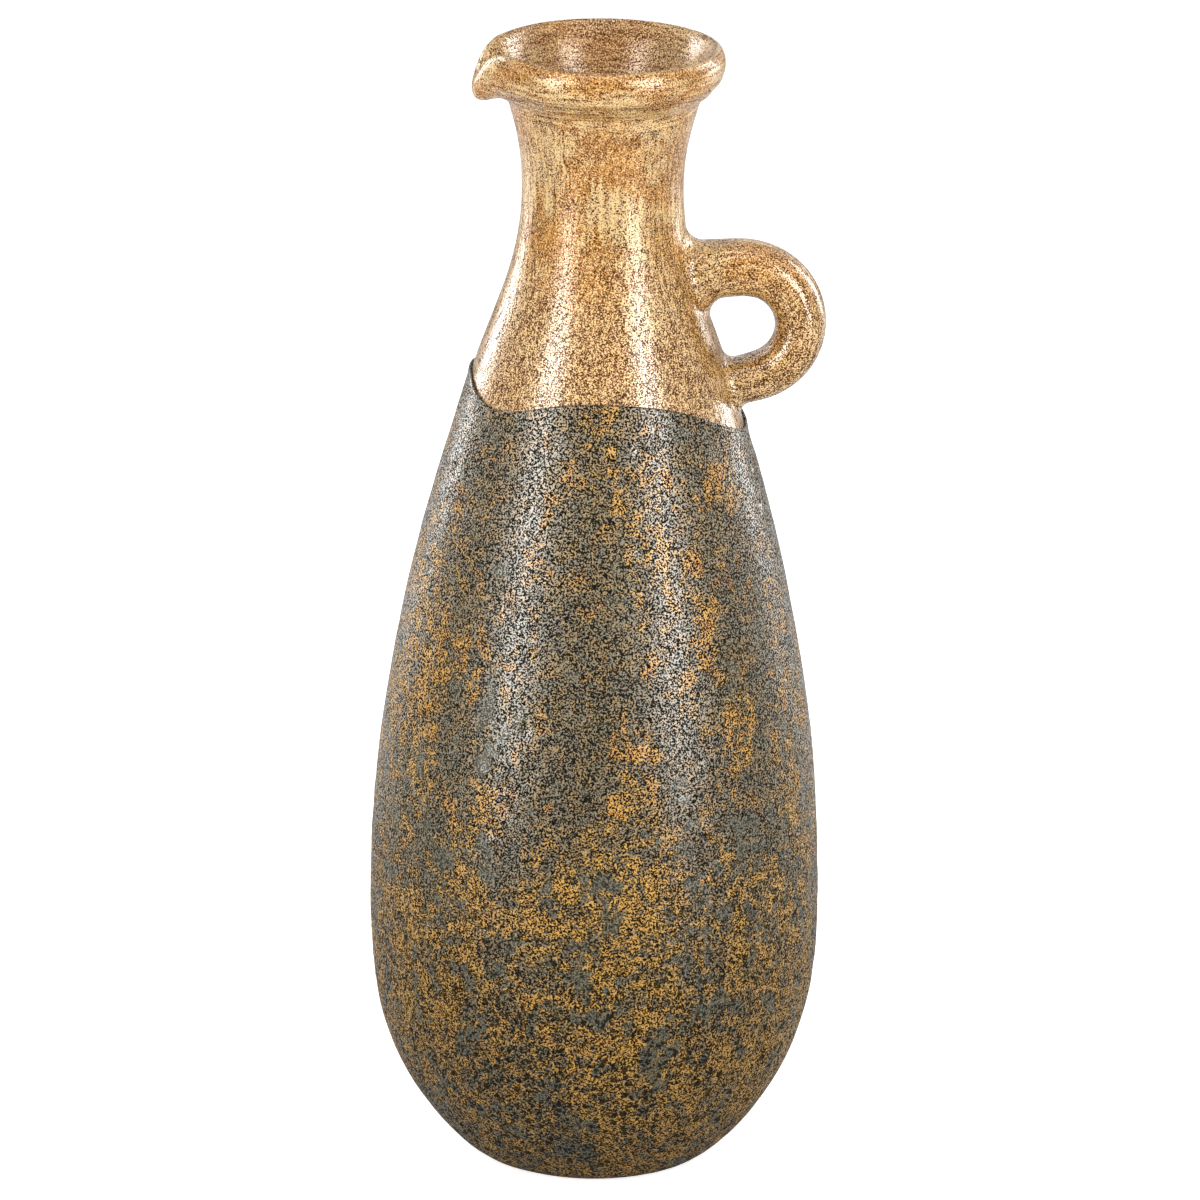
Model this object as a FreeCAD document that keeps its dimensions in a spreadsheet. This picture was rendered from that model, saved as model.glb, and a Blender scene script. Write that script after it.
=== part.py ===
# A tall one-handled pouring jug of fired clay, after the old oil flasks: an egg-shaped vessel,
# a waisted neck, a rolled rim pulled out into a beak, a finger loop on the neck, and a rough
# mineral coat over the vessel that ends in a wavy edge on the shoulder.
# Millimetres. +Z is up, the origin is the centre of the foot on the ground, +X points to the
# loop handle and the beak points nearly opposite.
import math
import os

import FreeCAD, Part
import Sketcher

V = FreeCAD.Vector

# Driving dimensions. Each pair is the name of the size and its value.
SIZES = (
    # The vessel, measured on the clay.
    ("foot_radius", 52.0),
    ("belly_radius", 98.0),
    ("joint_radius", 65.7),
    ("joint_height", 322.0),
    ("wall", 6.5),
    ("floor_thickness", 10.0),
    ("recess_radius", 41.0),
    ("recess_depth", 3.0),
    ("foot_edge_radius", 1.0),
    ("groove_depth", 3.0),
    # The neck, from the joint up to the seat of the rim.
    ("throat_radius", 34.6),
    ("lip_seat_radius", 39.7),
    ("neck_rise", 150.0),
    ("lip_wall", 6.0),
    # The rolled rim and its beak.
    ("rim_rise", 28.0),
    ("rim_overhang", 11.7),
    ("beak_pull", 5.4),
    ("beak_drop", 12.5),
    ("flank_draw", 1.2),
    ("lip_lift", 1.4),
    # The coat.
    ("coat_thickness", 1.2),
    ("coat_foot_gap", 1.5),
    ("seam_dip", 19.2),
    ("seam_wave", 3.4),
    # The loop handle.
    ("loop_radius", 24.6),
    ("loop_offset", 61.0),
    ("upper_arm_depth", 25.5),
    ("upper_arm_width", 29.0),
    ("lower_arm_depth", 19.0),
    ("lower_arm_width", 25.0),
    # The clay smoothed round the roots of the handle.
    ("upper_wad_radius", 8.0),
    ("lower_wad_radius", 5.0),
    # How far a tool reaches past what it cuts.
    ("overrun", 10.0),
)

# How far up the neck the coat's edge runs and the loop's centre stands, and the heights that
# follow from these, each with its name and the sheet's formula.
SEAM_LEVEL_SHARE = 0.216
LOOP_LEVEL_SHARE = 0.3766667
LEVELS = (
    ("lip_seat_height", "=joint_height + neck_rise"),
    ("seam_height", f"=joint_height + {SEAM_LEVEL_SHARE} * neck_rise"),
    ("loop_height", f"=joint_height + {LOOP_LEVEL_SHARE} * neck_rise"),
)

# Slopes, radius per height: the clay where vessel and neck meet, and the neck at the rim.
JOINT_TAPER_SHARE = 0.31
LIP_FLARE_SHARE = 0.32

# Poles of the vessel's outline: a share of the way from the foot's radius to the belly's, a
# share of the joint's height, and the outward normal there, as a radial and a vertical share.
LOWER_POLE_SHARES = (
    (0.00, 0.000, 1.00, 0.00),
    (0.15, 0.012, 0.80, -0.60),
    (0.625, 0.087, 0.80, -0.60),
    (0.99, 0.217, 0.99, -0.14),
    (1.015, 0.388, 1.00, 0.00),
)
# The same above the belly, where the radius runs from the joint's to the belly's.
UPPER_POLE_SHARES = (0.905, 0.62, 1.00, 0.08)
JOINT_POLE_SHARES = (0.885, 0.96, 0.29)

# Poles of the neck's outline: a share of the way from the throat's radius to the joint's and a
# share of the height from the joint to the rim's seat. Two more poles stand on the end slopes.
NECK_POLE_SHARES = ((0.64, 0.267), (0.235, 0.467), (-0.04, 0.687))
NECK_FOOT_POLE_SHARE = 0.107
NECK_TOP_POLE_SHARE = 0.893

# Poles of the rolled rim's section, going up the inside, over the crest and back under the
# roll: shares of the overhang outwards, of the lip's wall inwards and of the rise upwards from
# the outer edge of the seat, then of the beak's pull and drop, then of what the trough and the
# raised lip beside it do to the crest.
RIM_POLE_SHARES = (
    (0.00, 1.17, -0.24, 0.00, 0.00, 0.0),
    (0.00, 1.17, 0.00, 0.00, 0.00, 0.0),
    (0.00, 0.72, 0.25, 0.00, 0.00, 0.2),
    (0.00, 0.15, 0.52, 0.30, 0.15, 0.6),
    (0.22, 0.00, 0.80, 0.60, 0.40, 1.0),
    (0.62, 0.00, 1.045, 0.75, 0.62, 1.0),
    (0.93, 0.00, 0.960, 0.85, 0.80, 1.0),
    (1.04, 0.00, 0.775, 0.95, 0.95, 0.5),
    (0.94, 0.00, 0.560, 0.95, 0.95, 0.2),
    (0.68, 0.00, 0.385, 0.60, 0.62, 0.0),
    (0.33, 0.00, 0.275, 0.15, 0.12, 0.0),
    (0.10, 0.00, 0.190, 0.00, 0.00, 0.0),
    (0.01, 0.00, 0.020, 0.00, 0.00, 0.0),
    (0.00, 0.25, -0.24, 0.00, 0.00, 0.0),
    (0.00, 0.70, -0.42, 0.00, 0.00, 0.0),
)
RIM_POLE_COUNT = 60
TROUGH_SHARE = 0.62

# Directions and spreads round the axis, in degrees.
FULL_TURN_ANGLE = 360.0
HANDLE_ANGLE = 0.0
BEAK_ANGLE = 182.0
BEAK_SPREAD_ANGLE = 17.0
DROOP_SPREAD_ANGLE = 12.0
TROUGH_SPREAD_ANGLE = 9.0
FLANK_ANGLE = 38.0
FLANK_SPREAD_ANGLE = 16.0
SEAM_DIP_SPREAD_ANGLE = 38.0
# The arms of the handle slope down towards the neck, and its skin is made of so many spans.
UPPER_ARM_ANGLE = 4.0
LOWER_ARM_ANGLE = 15.0
LOOP_SPAN_COUNT = 12

# The oval section of the handle: how far its poles stand from its middle as a share of its
# size, and how far out its corner poles are as a share of that.
OVAL_REACH_SHARE = 0.54
OVAL_CORNER_SHARE = 0.78

# The wavy edge of the coat: how many waves go round, the share of the wave's height, and the
# azimuth of a crest.
SEAM_WAVE_SHARES = ((3, 1.0, 40.0), (5, 0.38, -25.0), (6, 0.26, 2.0))
SEAM_POINT_COUNT = 48

# How near two surfaces are when they are taken to touch, as a share of the wall.
TOUCH_SHARE = 0.003

# Every spline and smooth skin is cubic, and every pole of a sketched spline pulls alike.
CUBIC_COUNT = 3
POLE_WEIGHT_SHARE = 1.0


def make_sheet(doc):
    """The spreadsheet that holds the driving dimensions."""
    sheet = doc.addObject("Spreadsheet::Sheet", "Sizes")
    for row, (name, value) in enumerate(SIZES + LEVELS, start=1):
        sheet.set(f"A{row}", name)
        sheet.set(f"B{row}", str(value))
        sheet.setAlias(f"B{row}", name)
    doc.recompute()
    return sheet


def cell(name):
    return f"Sizes.{name}"


def between(low, high, share):
    """The expression for a share of the way from one size to another."""
    return f"({low} + {share} * ({high} - {low}))"


NO_OFFSET = f"0 * {cell('wall')}"


def vessel_poles(distance=NO_OFFSET):
    """Poles of the vessel's outline, moved outwards by a distance, from the foot to the joint."""
    foot, belly, joint = cell("foot_radius"), cell("belly_radius"), cell("joint_radius")
    height = cell("joint_height")
    places = []
    for radial, level, out, up in LOWER_POLE_SHARES:
        places.append((between(foot, belly, radial), level, out, up))
    radial, level, out, up = UPPER_POLE_SHARES
    places.append((between(joint, belly, radial), level, out, up))
    level, out, up = JOINT_POLE_SHARES
    places.append((f"({joint} + {JOINT_TAPER_SHARE} * {1.0 - level:.4f} * {height})", level, out, up))
    places.append((joint, 1.0, 1.0, 0.0))
    return [
        (f"{radius} + {out} * {distance}", f"{level} * {height} + {up} * {distance}")
        for radius, level, out, up in places
    ]


def neck_poles(lower_distance=NO_OFFSET, upper_distance=NO_OFFSET):
    """Poles of the neck's outline, moved outwards, from the joint to the rim's seat."""
    joint, throat, lip = cell("joint_radius"), cell("throat_radius"), cell("lip_seat_radius")
    foot, seat = cell("joint_height"), cell("lip_seat_height")
    rise = f"({seat} - {foot})"
    taper = JOINT_TAPER_SHARE * NECK_FOOT_POLE_SHARE
    flare = LIP_FLARE_SHARE * (1.0 - NECK_TOP_POLE_SHARE)
    places = [(joint, 0.0), (f"({joint} - {taper:.4f} * {rise})", NECK_FOOT_POLE_SHARE)]
    places += [(between(throat, joint, radial), level) for radial, level in NECK_POLE_SHARES]
    places += [(f"({lip} - {flare:.4f} * {rise})", NECK_TOP_POLE_SHARE), (lip, 1.0)]
    return [
        (f"{radius} + {between(lower_distance, upper_distance, level)}", between(foot, seat, level))
        for radius, level in places
    ]


class Profile:
    """A sketch on one of its body's origin planes, every point of it bound to the sheet."""

    def __init__(self, body, name, plane):
        self.sketch = body.newObject("Sketcher::SketchObject", name)
        origin_plane = [f for f in body.Origin.OriginFeatures if f.Role == plane][0]
        self.sketch.AttachmentSupport = [(origin_plane, "")]
        self.sketch.MapMode = "FlatFace"
        self.ends = []

    def value(self, expression):
        return float(self.sketch.evalExpression(expression))

    def point(self, pair):
        return V(self.value(pair[0]), self.value(pair[1]), 0)

    def pin(self, geometry, vertex, pair):
        """Ties one point of the sketch to a pair of expressions."""
        for kind, expression in zip(("DistanceX", "DistanceY"), pair):
            gap = Sketcher.Constraint(kind, -1, 1, geometry, vertex, self.value(expression))
            made = self.sketch.addConstraint(gap)
            self.sketch.setExpression(f"Constraints[{made}]", expression)

    def spline(self, pairs):
        """A cubic spline steered by its poles, which are given as pairs of expressions."""
        poles = [self.point(pair) for pair in pairs]
        shape = Part.BSplineCurve(poles, None, None, False, CUBIC_COUNT, None, False)
        curve = self.sketch.addGeometry(shape, False)
        circles = []
        for pole in poles:
            circle = Part.Circle(pole, V(0, 0, 1), POLE_WEIGHT_SHARE)
            circles.append(self.sketch.addGeometry(circle, True))
        ties = [Sketcher.Constraint("Weight", circles[0], POLE_WEIGHT_SHARE)]
        ties += [Sketcher.Constraint("Equal", circles[0], circle) for circle in circles[1:]]
        alignment = "InternalAlignment:Sketcher::BSplineControlPoint"
        for number, circle in enumerate(circles):
            ties.append(Sketcher.Constraint(alignment, circle, 3, curve, number))
        self.sketch.addConstraint(ties)
        # The first pole of a following spline is held by the end it is joined to.
        held = 1 if self.ends else 0
        for circle, pair in list(zip(circles, pairs))[held:]:
            self.pin(circle, 3, pair)
        self.join(curve)

    def line_to(self, pair):
        """A straight run from the last point of the outline to a new point."""
        start = self.sketch.getPoint(self.ends[-1], 2)
        line = self.sketch.addGeometry(Part.LineSegment(start, self.point(pair)), False)
        self.join(line)
        self.pin(line, 2, pair)

    def join(self, geometry):
        """Joins the start of a curve to the last end of the outline."""
        if self.ends:
            self.sketch.addConstraint(Sketcher.Constraint("Coincident", self.ends[-1], 2, geometry, 1))
        self.ends.append(geometry)

    def close(self):
        """The last straight run, back to the first point."""
        start = self.sketch.getPoint(self.ends[-1], 2)
        finish = self.sketch.getPoint(self.ends[0], 1)
        line = self.sketch.addGeometry(Part.LineSegment(start, finish), False)
        self.join(line)
        self.sketch.addConstraint(Sketcher.Constraint("Coincident", line, 2, self.ends[0], 1))


def turned(body, profile, name):
    """Turns a sketch a full circle about the axis of the jug."""
    feature = body.newObject("PartDesign::Revolution", name)
    feature.Profile = profile.sketch
    feature.ReferenceAxis = (profile.sketch, ["V_Axis"])
    feature.Angle = FULL_TURN_ANGLE
    return feature


def make_vessel(doc):
    """The thrown vessel: foot ring, floor, wall, and a V groove on its upper edge."""
    body = doc.addObject("PartDesign::Body", "vessel_body")
    inner = f"(-1 * {cell('wall')})"
    middle = f"{cell('joint_radius')} - {cell('wall')} / 2"
    profile = Profile(body, "vessel_outline", "XZ_Plane")
    profile.spline(vessel_poles())
    profile.line_to((middle, f"{cell('joint_height')} - {cell('groove_depth')}"))
    profile.line_to((f"{cell('joint_radius')} - {cell('wall')}", cell("joint_height")))
    wall_poles = list(reversed(vessel_poles(inner)))[:-2]
    wall_poles += [
        (f"{cell('foot_radius')} - {cell('wall')}", cell("floor_thickness")),
        (f"{cell('foot_radius')} / 2", cell("floor_thickness")),
    ]
    profile.spline(wall_poles)
    profile.line_to(("0", cell("floor_thickness")))
    profile.line_to(("0", cell("recess_depth")))
    profile.line_to((f"{cell('recess_radius')} - {cell('recess_depth')}", cell("recess_depth")))
    profile.line_to((cell("recess_radius"), "0"))
    profile.close()
    vessel = turned(body, profile, "thrown_vessel")
    doc.recompute()
    edge = body.newObject("PartDesign::Fillet", "foot_edge")
    edge.Base = (vessel, [ring_edge(vessel.Shape, body.Document.Sizes.foot_radius, 0.0)])
    edge.setExpression("Radius", cell("foot_edge_radius"))
    body.Tip = edge
    return body


def ring_edge(shape, radius, height):
    """The name of the circular edge nearest to a radius and a height."""
    best, found = None, None
    for number, edge in enumerate(shape.Edges, start=1):
        if not isinstance(edge.Curve, Part.Circle):
            continue
        miss = abs(edge.Curve.Radius - float(radius)) + abs(edge.Curve.Center.z - height)
        if best is None or miss < best:
            best, found = miss, f"Edge{number}"
    return found


def make_neck(doc):
    """The thrown neck: a V tongue below, a waisted wall, and a flat seat for the rim."""
    body = doc.addObject("PartDesign::Body", "neck")
    profile = Profile(body, "neck_outline", "XZ_Plane")
    profile.spline(neck_poles())
    profile.line_to((f"{cell('lip_seat_radius')} - {cell('lip_wall')}", cell("lip_seat_height")))
    inside = neck_poles(f"(-1 * {cell('wall')})", f"(-1 * {cell('lip_wall')})")
    profile.spline(list(reversed(inside)))
    middle = f"{cell('joint_radius')} - {cell('wall')} / 2"
    profile.line_to((middle, f"{cell('joint_height')} - {cell('groove_depth')}"))
    profile.close()
    turned(body, profile, "thrown_neck")
    return body


def bump(angle, centre, spread):
    """A smooth hump round an azimuth: 1 at the centre, and e-fold down at the spread."""
    away = math.remainder(angle - centre, FULL_TURN_ANGLE)
    return math.exp(-((away / spread) ** 2))


def rim_pole(sheet, shares, azimuth, around):
    """One pole of the rim's surface, pulled out and down where the beak is."""
    outward, inward, upward, pull, drop, crest = shares
    beak = bump(azimuth, BEAK_ANGLE, BEAK_SPREAD_ANGLE)
    droop = bump(azimuth, BEAK_ANGLE, DROOP_SPREAD_ANGLE)
    gutter = bump(azimuth, BEAK_ANGLE, TROUGH_SPREAD_ANGLE)
    near_flank = bump(azimuth, BEAK_ANGLE + FLANK_ANGLE, FLANK_SPREAD_ANGLE)
    far_flank = bump(azimuth, BEAK_ANGLE - FLANK_ANGLE, FLANK_SPREAD_ANGLE)
    radius = sheet.lip_seat_radius + outward * sheet.rim_overhang - inward * sheet.lip_wall
    radius += pull * beak * sheet.beak_pull
    radius -= outward * (near_flank + far_flank) * sheet.flank_draw
    height = sheet.lip_seat_height + upward * sheet.rim_rise
    height -= (drop * droop + TROUGH_SHARE * crest * gutter * (1.0 - drop)) * sheet.beak_drop
    height += crest * near_flank * sheet.lip_lift
    # A cubic spline falls a little inside a circle of poles.
    step = 2.0 * math.pi / around
    radius *= 3.0 / (2.0 + math.cos(step))
    angle = math.radians(azimuth)
    return V(radius * math.cos(angle), radius * math.sin(angle), height)


def make_rim(doc, sheet):
    """The rolled rim: one closed smooth skin, cut flat where it sits on the neck."""
    rows = []
    for number in range(RIM_POLE_COUNT):
        azimuth = FULL_TURN_ANGLE * number / RIM_POLE_COUNT
        rows.append([rim_pole(sheet, shares, azimuth, RIM_POLE_COUNT) for shares in RIM_POLE_SHARES])
    along, across = len(rows), len(rows[0])
    surface = Part.BSplineSurface()
    surface.buildFromPolesMultsKnots(
        rows,
        [1] * (along + 1),
        [1] * (across + 1),
        [float(k) for k in range(along + 1)],
        [float(k) for k in range(across + 1)],
        True,
        True,
        CUBIC_COUNT,
        CUBIC_COUNT,
    )
    roll = Part.Solid(Part.Shell([surface.toShape()]))
    if roll.Volume < 0:
        roll.reverse()
    blank = doc.addObject("Part::Feature", "rim_blank")
    blank.Shape = roll
    seat = doc.addObject("Part::Cylinder", "rim_seat_cutter")
    seat.setExpression("Radius", f"{cell('lip_seat_radius')} + {cell('overrun')}")
    seat.setExpression("Height", f"{cell('rim_rise')}")
    seat.setExpression("Placement.Base.z", f"{cell('lip_seat_height')} - {cell('rim_rise')}")
    rim = doc.addObject("Part::Cut", "rolled_rim")
    rim.Base = blank
    rim.Tool = seat
    return rim


def seam_level(sheet, azimuth):
    """Height of the coat's upper edge at an azimuth: it dips under the handle."""
    level = sheet.seam_height - sheet.seam_dip * bump(azimuth, HANDLE_ANGLE, SEAM_DIP_SPREAD_ANGLE)
    for waves, share, crest in SEAM_WAVE_SHARES:
        level += share * sheet.seam_wave * math.cos(math.radians(waves * (azimuth - crest)))
    return level


def seam_ring(sheet, radius):
    """A closed smooth curve at one radius that follows the coat's upper edge."""
    points = []
    for number in range(SEAM_POINT_COUNT):
        azimuth = FULL_TURN_ANGLE * number / SEAM_POINT_COUNT
        angle = math.radians(azimuth)
        points.append(V(radius * math.cos(angle), radius * math.sin(angle), seam_level(sheet, azimuth)))
    ring = Part.BSplineCurve()
    ring.interpolate(Points=points, PeriodicFlag=True)
    return ring.toShape()


def make_coat(doc, sheet, vessel, neck):
    """The rough mineral coat: a skin over the clay from just above the ground to a wavy edge."""
    band_body = doc.addObject("PartDesign::Body", "coat_band")
    skin = cell("coat_thickness")
    core = f"(-0.5 * {cell('wall')})"
    profile = Profile(band_body, "coat_outline", "XZ_Plane")
    profile.spline(vessel_poles(skin))
    profile.spline(neck_poles(skin, skin))
    upper_core = f"(-0.5 * {cell('lip_wall')})"
    profile.line_to((f"{cell('lip_seat_radius')} + {upper_core}", cell("lip_seat_height")))
    profile.spline(list(reversed(neck_poles(core, upper_core))))
    profile.spline(list(reversed(vessel_poles(core))))
    profile.close()
    turned(band_body, profile, "coat_band_turned")
    doc.recompute()

    inner = seam_ring(sheet, sheet.throat_radius - sheet.lip_wall)
    outer = seam_ring(sheet, sheet.belly_radius + sheet.overrun)
    ribbon = Part.makeRuledSurface(inner, outer)
    trimmer = doc.addObject("Part::Feature", "seam_trimmer")
    trimmer.Shape = ribbon.extrude(V(0, 0, sheet.lip_seat_height - sheet.joint_height + sheet.seam_dip))

    ground = doc.addObject("Part::Cylinder", "ground_trimmer")
    ground.setExpression("Radius", f"{cell('belly_radius')} + {cell('overrun')}")
    ground.setExpression("Height", f"{cell('coat_foot_gap')} + {cell('overrun')}")
    ground.setExpression("Placement.Base.z", f"-1 * {cell('overrun')}")

    last = band_body
    for tool, name in (
        (trimmer, "coat_below_seam"),
        (ground, "coat_above_ground"),
        (vessel, "coat_off_vessel"),
        (neck, "textured_coat"),
    ):
        cut = doc.addObject("Part::Cut", name)
        cut.Base = last
        cut.Tool = tool
        last = cut
    return last


def arm_reach(sheet):
    """Length of each arm of the handle, from its bend to well inside the neck."""
    return sheet.loop_offset - sheet.throat_radius


def loop_frame(sheet, travel):
    """Centre and outward direction of the handle's bar after a length of travel along it."""
    first = math.radians(FULL_TURN_ANGLE / 4.0 + UPPER_ARM_ANGLE)
    last = math.radians(-FULL_TURN_ANGLE / 4.0 + LOWER_ARM_ANGLE)
    bend = sheet.loop_radius * (first - last)
    reach = arm_reach(sheet)
    turned_by = min(max(travel - reach, 0.0), bend) / sheet.loop_radius
    angle = first - turned_by
    outward = V(math.cos(angle), 0, math.sin(angle))
    forward = V(math.sin(angle), 0, -math.cos(angle))
    centre = V(sheet.loop_offset, 0, sheet.loop_height) + outward * float(sheet.loop_radius)
    straight = travel - reach - turned_by * sheet.loop_radius
    return centre + forward * straight, outward


def loop_point(sheet, travel, length, turn):
    """A point that steers the skin of the bar: a place along it and an angle round it."""
    centre, outward = loop_frame(sheet, travel)
    share = travel / length
    half_depth = OVAL_REACH_SHARE * (
        sheet.upper_arm_depth + share * (sheet.lower_arm_depth - sheet.upper_arm_depth)
    )
    half_width = OVAL_REACH_SHARE * (
        sheet.upper_arm_width + share * (sheet.lower_arm_width - sheet.upper_arm_width)
    )
    out, side = turn
    return centre + outward * (half_depth * out) + V(0, half_width * side, 0)


def bar_skin(sheet):
    """The closed skin of the handle's bar as a smooth surface with a cap at either end."""
    turned_through = math.radians(FULL_TURN_ANGLE / 2.0 + UPPER_ARM_ANGLE - LOWER_ARM_ANGLE)
    length = 2.0 * arm_reach(sheet) + sheet.loop_radius * turned_through
    step = length / LOOP_SPAN_COUNT
    corner = OVAL_CORNER_SHARE
    turns = ((0, 1), (corner, corner), (1, 0), (corner, -corner), (0, -1), (-corner, -corner))
    turns += ((-1, 0), (-corner, corner))
    places = [0.0, step / 3.0] + [step * n for n in range(1, LOOP_SPAN_COUNT)]
    places += [length - step / 3.0, length]
    rows = []
    for number, place in enumerate(places):
        row = []
        for turn in turns:
            here = loop_point(sheet, place, length, turn)
            if 1 < number < len(places) - 2:
                # A cubic spline cuts a corner between its poles, so each stands out from the bend.
                before = loop_point(sheet, place - step, length, turn)
                after = loop_point(sheet, place + step, length, turn)
                here = here - (before + after - here * 2.0) * (1.0 / 6.0)
            row.append(here)
        rows.append(row)
    surface = Part.BSplineSurface()
    surface.buildFromPolesMultsKnots(
        rows,
        [CUBIC_COUNT + 1] + [1] * (LOOP_SPAN_COUNT - 1) + [CUBIC_COUNT + 1],
        [1] * (len(turns) + 1),
        [float(k) for k in range(LOOP_SPAN_COUNT + 1)],
        [float(k) for k in range(len(turns) + 1)],
        False,
        True,
        CUBIC_COUNT,
        CUBIC_COUNT,
    )
    skin = surface.toShape()
    caps = [Part.Face(Part.Wire([edge])) for edge in skin.Edges if edge.isClosed()]
    shell = Part.makeShell([skin] + caps)
    shell.sewShape()
    bar = Part.Solid(Part.Shell(shell.Faces))
    if bar.Volume < 0:
        bar.reverse()
    return bar


def make_handle(doc, sheet):
    """The pulled loop: an oval bar that thins from the upper root to the lower one."""
    blank = doc.addObject("Part::Feature", "handle_blank")
    blank.Shape = bar_skin(sheet)

    # The room of the neck, filled to the axis: what the arms end against.
    plug = doc.addObject("PartDesign::Body", "neck_plug")
    profile = Profile(plug, "neck_plug_outline", "XZ_Plane")
    profile.spline(neck_poles())
    profile.line_to(("0", cell("lip_seat_height")))
    profile.line_to(("0", cell("joint_height")))
    profile.close()
    turned(plug, profile, "neck_plug_turned")

    handle = doc.addObject("Part::Cut", "loop_handle")
    handle.Base = blank
    handle.Tool = plug
    return handle


def on_both(edge, first, second, touch):
    """Whether an edge runs where two shapes touch."""
    spots = [Part.Vertex(point) for point in edge.discretize(5)]
    return all(first.distToShape(spot)[0] < touch and second.distToShape(spot)[0] < touch for spot in spots)


def make_wads(doc, sheet, neck, handle):
    """Clay smoothed into the corners where the handle's two roots meet the neck."""
    joined = neck.Shape.fuse(handle.Shape)
    touch = TOUCH_SHARE * sheet.wall
    corners = [edge for edge in joined.Edges if on_both(edge, neck.Shape, handle.Shape, touch)]
    wads = []
    for name, radius, side in (
        ("upper_root_wad", sheet.upper_wad_radius, 1),
        ("lower_root_wad", sheet.lower_wad_radius, -1),
    ):
        ring = [edge for edge in corners if side * (edge.CenterOfMass.z - sheet.loop_height) > 0]
        smoothed = joined.makeFillet(radius, ring)
        feature = doc.addObject("Part::Feature", name)
        feature.Shape = smoothed.cut([neck.Shape, handle.Shape])
        wads.append(feature)
    return wads


def check(doc, parts):
    """Stops on a failed object or a bad shape."""
    for item in doc.Objects:
        if {"Invalid", "Error"} & set(item.State):
            raise RuntimeError(f"{item.Label} failed: {item.State}")
    for part in parts:
        if part.Shape.isNull() or not part.Shape.isValid() or not part.Shape.Solids:
            raise RuntimeError(f"{part.Label} has no valid solid")


def main():
    doc = FreeCAD.newDocument("jug")
    sheet = make_sheet(doc)
    vessel = make_vessel(doc)
    neck = make_neck(doc)
    doc.recompute()
    rim = make_rim(doc, sheet)
    coat = make_coat(doc, sheet, vessel, neck)
    handle = make_handle(doc, sheet)
    doc.recompute()
    wads = make_wads(doc, sheet, neck, handle)
    doc.recompute()
    parts = [vessel, neck, rim, coat, handle, *wads]
    check(doc, parts)
    os.makedirs("parts", exist_ok=True)
    for part in parts:
        print(f"{part.Label}: {len(part.Shape.Solids)} solid, {part.Shape.Volume:.0f} mm3")
        part.Shape.exportStep(f"parts/{part.Label}.step")


main()
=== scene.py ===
"""Dresses a tall pouring jug: a hand-formed neck, rim and loop in rubbed gold paint, and a gritty
mineral coat over the vessel, with the clay beneath left bare inside and under the foot."""

import math

import bmesh
import bpy
from bpy.props import FloatProperty, FloatVectorProperty, IntProperty, PointerProperty
from mathutils import Matrix, Vector, noise
from mathutils.bvhtree import BVHTree


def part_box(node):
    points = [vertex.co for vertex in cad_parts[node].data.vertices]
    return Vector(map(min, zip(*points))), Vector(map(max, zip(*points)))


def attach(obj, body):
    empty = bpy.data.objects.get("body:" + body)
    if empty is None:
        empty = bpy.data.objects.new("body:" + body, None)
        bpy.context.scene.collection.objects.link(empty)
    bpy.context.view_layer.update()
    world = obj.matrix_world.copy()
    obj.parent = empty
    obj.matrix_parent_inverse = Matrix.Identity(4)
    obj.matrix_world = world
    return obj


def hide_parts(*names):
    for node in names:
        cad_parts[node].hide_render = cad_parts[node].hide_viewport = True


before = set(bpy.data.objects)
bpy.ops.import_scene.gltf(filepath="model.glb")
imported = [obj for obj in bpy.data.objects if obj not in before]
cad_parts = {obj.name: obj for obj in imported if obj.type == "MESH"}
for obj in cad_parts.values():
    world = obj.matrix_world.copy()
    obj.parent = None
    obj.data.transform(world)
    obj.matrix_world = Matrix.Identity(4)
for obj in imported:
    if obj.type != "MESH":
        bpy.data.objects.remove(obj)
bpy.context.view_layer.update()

bl_info = {
    "name": "Gold-necked jug",
    "version": (1, 0, 0),
    "blender": (4, 5, 0),
    "location": "3D View > Sidebar > Jug",
    "description": "Dresses a ceramic pouring jug and sets its stage",
    "category": "Object",
}

MM = 0.001
BODY = "root"


# Sizes and colours that a user would change


def tone(red, green, blue):
    """A colour given as a screen shows it, in the linear values that the shaders use."""
    parts = (red, green, blue)
    return tuple(((part / 255.0 + 0.055) / 1.055) ** 2.4 if part > 10 else part / 3295.0 for part in parts)


def length(name, description, default):
    return FloatProperty(name=name, description=description, default=default, unit="LENGTH")


def angle(name, description, degrees):
    return FloatProperty(name=name, description=description, default=math.radians(degrees), subtype="ANGLE")


def colour(name, description, default):
    return FloatVectorProperty(
        name=name, description=description, default=default, subtype="COLOR", size=3, min=0.0, max=1.0
    )


class FormSizes(bpy.types.PropertyGroup):
    """How far the hand has left the clay from true. The seed keeps its swellings the same in every run."""

    seed: IntProperty(name="Seed", description="Which hand-formed jug of many this is", default=8, min=1)
    sway: length("Sway", "How far broad swellings of the clay stand from true", 0.30 * MM)
    sway_span: length("Sway span", "Length of the broad swellings", 45 * MM)
    ripple: length("Ripple", "How far finger ripples stand from true", 0.09 * MM)
    ripple_span: length("Ripple span", "Length of the finger ripples", 12 * MM)
    tuck: length("Tuck", "How far the rim is pressed in where it meets the neck", 0.7 * MM)
    tuck_rise: length("Tuck rise", "How far above the rim's seat that line runs", 11.5 * MM)
    tuck_span: length("Tuck span", "Height of that pressed line", 1.6 * MM)
    groove: length("Groove", "Depth of the groove outside the rim's inner edge", 0.5 * MM)


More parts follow.
